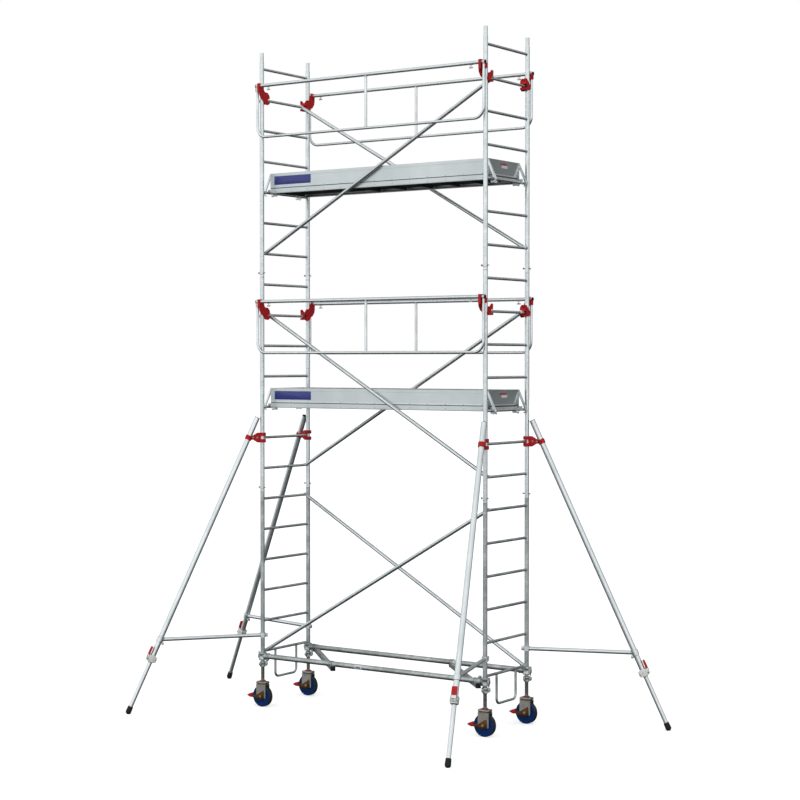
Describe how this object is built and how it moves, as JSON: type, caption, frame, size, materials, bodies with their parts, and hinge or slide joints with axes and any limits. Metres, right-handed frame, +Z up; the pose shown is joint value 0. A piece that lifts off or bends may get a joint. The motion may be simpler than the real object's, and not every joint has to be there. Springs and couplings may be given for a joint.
{
  "type": "mobile tower scaffold",
  "caption": "Mobile scaffold tower with pinned ladder frames, diagonal braces, two hatch platforms with toe boards, guardrails, swivelling braked castors and stabilisers.",
  "frame": {"origin": "bottom centre of the whole box, on the floor", "axes": "+X along the bay, +Y from front to back across the bay, +Z up"},
  "size_m": [4.9157, 2.3806, 6.0966],
  "materials": {
    "brake_brass": "yellow passivated plate",
    "bright_tube": "bright galvanised tube",
    "cap_black": "black plastic plug",
    "deck_frame": "film-faced plywood deck in a metal frame",
    "galvanised_old": "hot-dip galvanised, mottled grey",
    "galvanised_steel": "hot-dip galvanised, satin",
    "hatch_panel": "film-faced plywood",
    "hook_red": "red moulded nylon",
    "lever_red": "steel lever with a red grip",
    "rubber_black": "moulded rubber",
    "steel_screw": "oiled threaded steel",
    "toe_aluminium": "folded aluminium sheet",
    "tyre_black": "solid rubber",
    "wheel_blue": "moulded blue nylon",
    "zinc_plate": "zinc plated"
  },
  "bodies": {
    "tower": {"end_frames_bottom": "galvanised_old", "end_frames_middle": "galvanised_steel", "end_frames_top": "galvanised_steel", "joint_pins": "zinc_plate", "base_tubes": "galvanised_old", "plan_braces": "galvanised_old", "diagonal_braces": "galvanised_steel", "brace_claws": "galvanised_steel", "guardrails": "bright_tube", "guardrail_hooks": "hook_red", "guardrail_caps": "cap_black", "platform_decks": "deck_frame", "toe_boards": "toe_aluminium"},
    "triggers": {"guardrail_triggers": "zinc_plate"},
    "hatch_lower": {"trapdoor_lower": "hatch_panel"},
    "hatch_upper": {"trapdoor_upper": "hatch_panel"},
    "nut_front_left": {"jack_nut_front_left": "galvanised_old"},
    "screw_front_left": {"leg_screw_front_left": "steel_screw"},
    "castor_front_left": {"castor_fork_front_left": "zinc_plate"},
    "wheel_front_left": {"wheel_hub_front_left": "wheel_blue", "tyre_front_left": "tyre_black"},
    "brake_front_left": {"brake_pedal_front_left": "brake_brass"},
    "arm_front_left": {"stabiliser_arm_front_left": "bright_tube", "stabiliser_clamp_front_left": "hook_red"},
    "leg_front_left": {"stabiliser_leg_front_left": "bright_tube", "stabiliser_foot_front_left": "rubber_black"},
    "lever_front_left": {"lock_lever_front_left": "lever_red"},
    "nut_back_left": {"jack_nut_back_left": "galvanised_old"},
    "screw_back_left": {"leg_screw_back_left": "steel_screw"},
    "castor_back_left": {"castor_fork_back_left": "zinc_plate"},
    "wheel_back_left": {"wheel_hub_back_left": "wheel_blue", "tyre_back_left": "tyre_black"},
    "brake_back_left": {"brake_pedal_back_left": "brake_brass"},
    "arm_back_left": {"stabiliser_arm_back_left": "bright_tube", "stabiliser_clamp_back_left": "hook_red"},
    "leg_back_left": {"stabiliser_leg_back_left": "bright_tube", "stabiliser_foot_back_left": "rubber_black"},
    "lever_back_left": {"lock_lever_back_left": "lever_red"},
    "nut_front_right": {"jack_nut_front_right": "galvanised_old"},
    "screw_front_right": {"leg_screw_front_right": "steel_screw"},
    "castor_front_right": {"castor_fork_front_right": "zinc_plate"},
    "wheel_front_right": {"wheel_hub_front_right": "wheel_blue", "tyre_front_right": "tyre_black"},
    "brake_front_right": {"brake_pedal_front_right": "brake_brass"},
    "arm_front_right": {"stabiliser_arm_front_right": "bright_tube", "stabiliser_clamp_front_right": "hook_red"},
    "leg_front_right": {"stabiliser_leg_front_right": "bright_tube", "stabiliser_foot_front_right": "rubber_black"},
    "lever_front_right": {"lock_lever_front_right": "lever_red"},
    "nut_back_right": {"jack_nut_back_right": "galvanised_old"},
    "screw_back_right": {"leg_screw_back_right": "steel_screw"},
    "castor_back_right": {"castor_fork_back_right": "zinc_plate"},
    "wheel_back_right": {"wheel_hub_back_right": "wheel_blue", "tyre_back_right": "tyre_black"},
    "brake_back_right": {"brake_pedal_back_right": "brake_brass"},
    "arm_back_right": {"stabiliser_arm_back_right": "bright_tube", "stabiliser_clamp_back_right": "hook_red"},
    "leg_back_right": {"stabiliser_leg_back_right": "bright_tube", "stabiliser_foot_back_right": "rubber_black"},
    "lever_back_right": {"lock_lever_back_right": "lever_red"}
  },
  "joints": [
    {"name": "trigger_pull", "type": "slide", "parent": "tower", "child": "triggers", "axis": [0, 0, 1], "range_m": [0, 0.008], "stiffness_N_per_m": 1200, "springref_m": -0.006},
    {"name": "hatch_lower_hinge", "type": "hinge", "parent": "tower", "child": "hatch_lower", "pos_m": [0.47185, 0.38232, 2.85021], "axis": [0, -1, 0], "range_deg": [0, 100]},
    {"name": "hatch_upper_hinge", "type": "hinge", "parent": "tower", "child": "hatch_upper", "pos_m": [-0.42815, 0.38232, 4.85021], "axis": [0, 1, 0], "range_deg": [0, 100]},
    {"name": "leg_height_front_left", "type": "slide", "parent": "tower", "child": "screw_front_left", "axis": [0, 0, -1], "range_m": [-0.12, 0.15]},
    {"name": "nut_spin_front_left", "type": "hinge", "parent": "tower", "child": "nut_front_left", "pos_m": [-1.20315, 0.03232, 0.398], "axis": [0, 0, 1], "range_deg": [-6100, 7600]},
    {"name": "castor_swivel_front_left", "type": "hinge", "parent": "screw_front_left", "child": "castor_front_left", "pos_m": [-1.20315, 0.03232, 0.2157], "axis": [0, 0, 1], "continuous": true},
    {"name": "wheel_spin_front_left", "type": "hinge", "parent": "castor_front_left", "child": "wheel_front_left", "pos_m": [-1.20315, 0.03232, 0.1], "axis": [0, 1, 0], "continuous": true},
    {"name": "brake_press_front_left", "type": "hinge", "parent": "castor_front_left", "child": "brake_front_left", "pos_m": [-1.20315, 0.03232, 0.1], "axis": [0, -1, 0], "range_deg": [0, 14]},
    {"name": "stabiliser_swing_front_left", "type": "hinge", "parent": "tower", "child": "arm_front_left", "pos_m": [-1.20315, 0.03232, 0.672], "axis": [0, 0, 1], "range_deg": [-30, 30]},
    {"name": "stabiliser_extend_front_left", "type": "slide", "parent": "arm_front_left", "child": "leg_front_left", "axis": [-0.2536, -0.3246, -0.9112], "range_m": [-0.35, 0.35]},
    {"name": "lock_lever_turn_front_left", "type": "hinge", "parent": "arm_front_left", "child": "lever_front_left", "pos_m": [-1.87113, -0.82266, 0.50582], "axis": [0.788, -0.6157, 0], "range_deg": [0, 100]},
    {"name": "leg_height_back_left", "type": "slide", "parent": "tower", "child": "screw_back_left", "axis": [0, 0, -1], "range_m": [-0.12, 0.15]},
    {"name": "nut_spin_back_left", "type": "hinge", "parent": "tower", "child": "nut_back_left", "pos_m": [-1.20315, 0.73232, 0.398], "axis": [0, 0, 1], "range_deg": [-6100, 7600]},
    {"name": "castor_swivel_back_left", "type": "hinge", "parent": "screw_back_left", "child": "castor_back_left", "pos_m": [-1.20315, 0.73232, 0.2157], "axis": [0, 0, 1], "continuous": true},
    {"name": "wheel_spin_back_left", "type": "hinge", "parent": "castor_back_left", "child": "wheel_back_left", "pos_m": [-1.20315, 0.73232, 0.1], "axis": [0, 1, 0], "continuous": true},
    {"name": "brake_press_back_left", "type": "hinge", "parent": "castor_back_left", "child": "brake_back_left", "pos_m": [-1.20315, 0.73232, 0.1], "axis": [0, -1, 0], "range_deg": [0, 14]},
    {"name": "stabiliser_swing_back_left", "type": "hinge", "parent": "tower", "child": "arm_back_left", "pos_m": [-1.20315, 0.73232, 0.672], "axis": [0, 0, 1], "range_deg": [-30, 30]},
    {"name": "stabiliser_extend_back_left", "type": "slide", "parent": "arm_back_left", "child": "leg_back_left", "axis": [-0.4014, 0.0927, -0.9112], "range_m": [-0.35, 0.35]},
    {"name": "lock_lever_turn_back_left", "type": "hinge", "parent": "arm_back_left", "child": "lever_back_left", "pos_m": [-2.26032, 0.97639, 0.50582], "axis": [-0.225, -0.9744, 0], "range_deg": [0, 100]},
    {"name": "leg_height_front_right", "type": "slide", "parent": "tower", "child": "screw_front_right", "axis": [0, 0, -1], "range_m": [-0.12, 0.15]},
    {"name": "nut_spin_front_right", "type": "hinge", "parent": "tower", "child": "nut_front_right", "pos_m": [1.24685, 0.03232, 0.398], "axis": [0, 0, 1], "range_deg": [-6100, 7600]},
    {"name": "castor_swivel_front_right", "type": "hinge", "parent": "screw_front_right", "child": "castor_front_right", "pos_m": [1.24685, 0.03232, 0.2157], "axis": [0, 0, 1], "continuous": true},
    {"name": "wheel_spin_front_right", "type": "hinge", "parent": "castor_front_right", "child": "wheel_front_right", "pos_m": [1.24685, 0.03232, 0.1], "axis": [0, 1, 0], "continuous": true},
    {"name": "brake_press_front_right", "type": "hinge", "parent": "castor_front_right", "child": "brake_front_right", "pos_m": [1.24685, 0.03232, 0.1], "axis": [0, -1, 0], "range_deg": [0, 14]},
    {"name": "stabiliser_swing_front_right", "type": "hinge", "parent": "tower", "child": "arm_front_right", "pos_m": [1.24685, 0.03232, 0.672], "axis": [0, 0, 1], "range_deg": [-30, 30]},
    {"name": "stabiliser_extend_front_right", "type": "slide", "parent": "arm_front_right", "child": "leg_front_right", "axis": [0.13, -0.3909, -0.9112], "range_m": [-0.35, 0.35]},
    {"name": "lock_lever_turn_front_right", "type": "hinge", "parent": "arm_front_right", "child": "lever_front_right", "pos_m": [1.58932, -0.99719, 0.50582], "axis": [0.9489, 0.3156, 0], "range_deg": [0, 100]},
    {"name": "leg_height_back_right", "type": "slide", "parent": "tower", "child": "screw_back_right", "axis": [0, 0, -1], "range_m": [-0.12, 0.15]},
    {"name": "nut_spin_back_right", "type": "hinge", "parent": "tower", "child": "nut_back_right", "pos_m": [1.24685, 0.73232, 0.398], "axis": [0, 0, 1], "range_deg": [-6100, 7600]},
    {"name": "castor_swivel_back_right", "type": "hinge", "parent": "screw_back_right", "child": "castor_back_right", "pos_m": [1.24685, 0.73232, 0.2157], "axis": [0, 0, 1], "continuous": true},
    {"name": "wheel_spin_back_right", "type": "hinge", "parent": "castor_back_right", "child": "wheel_back_right", "pos_m": [1.24685, 0.73232, 0.1], "axis": [0, 1, 0], "continuous": true},
    {"name": "brake_press_back_right", "type": "hinge", "parent": "castor_back_right", "child": "brake_back_right", "pos_m": [1.24685, 0.73232, 0.1], "axis": [0, -1, 0], "range_deg": [0, 14]},
    {"name": "stabiliser_swing_back_right", "type": "hinge", "parent": "tower", "child": "arm_back_right", "pos_m": [1.24685, 0.73232, 0.672], "axis": [0, 0, 1], "range_deg": [-30, 30]},
    {"name": "stabiliser_extend_back_right", "type": "slide", "parent": "arm_back_right", "child": "leg_back_right", "axis": [0.3871, 0.1409, -0.9112], "range_m": [-0.35, 0.35]},
    {"name": "lock_lever_turn_back_right", "type": "hinge", "parent": "arm_back_right", "child": "lever_back_right", "pos_m": [2.2664, 1.10341, 0.50582], "axis": [-0.342, 0.9397, 0], "range_deg": [0, 100]}
  ],
  "couplings": [
    {"joint": "nut_spin_front_left", "follows": "leg_height_front_left", "rad_per_m": 785.4},
    {"joint": "nut_spin_back_left", "follows": "leg_height_back_left", "rad_per_m": 785.4},
    {"joint": "nut_spin_front_right", "follows": "leg_height_front_right", "rad_per_m": 785.4},
    {"joint": "nut_spin_back_right", "follows": "leg_height_back_right", "rad_per_m": 785.4}
  ]
}
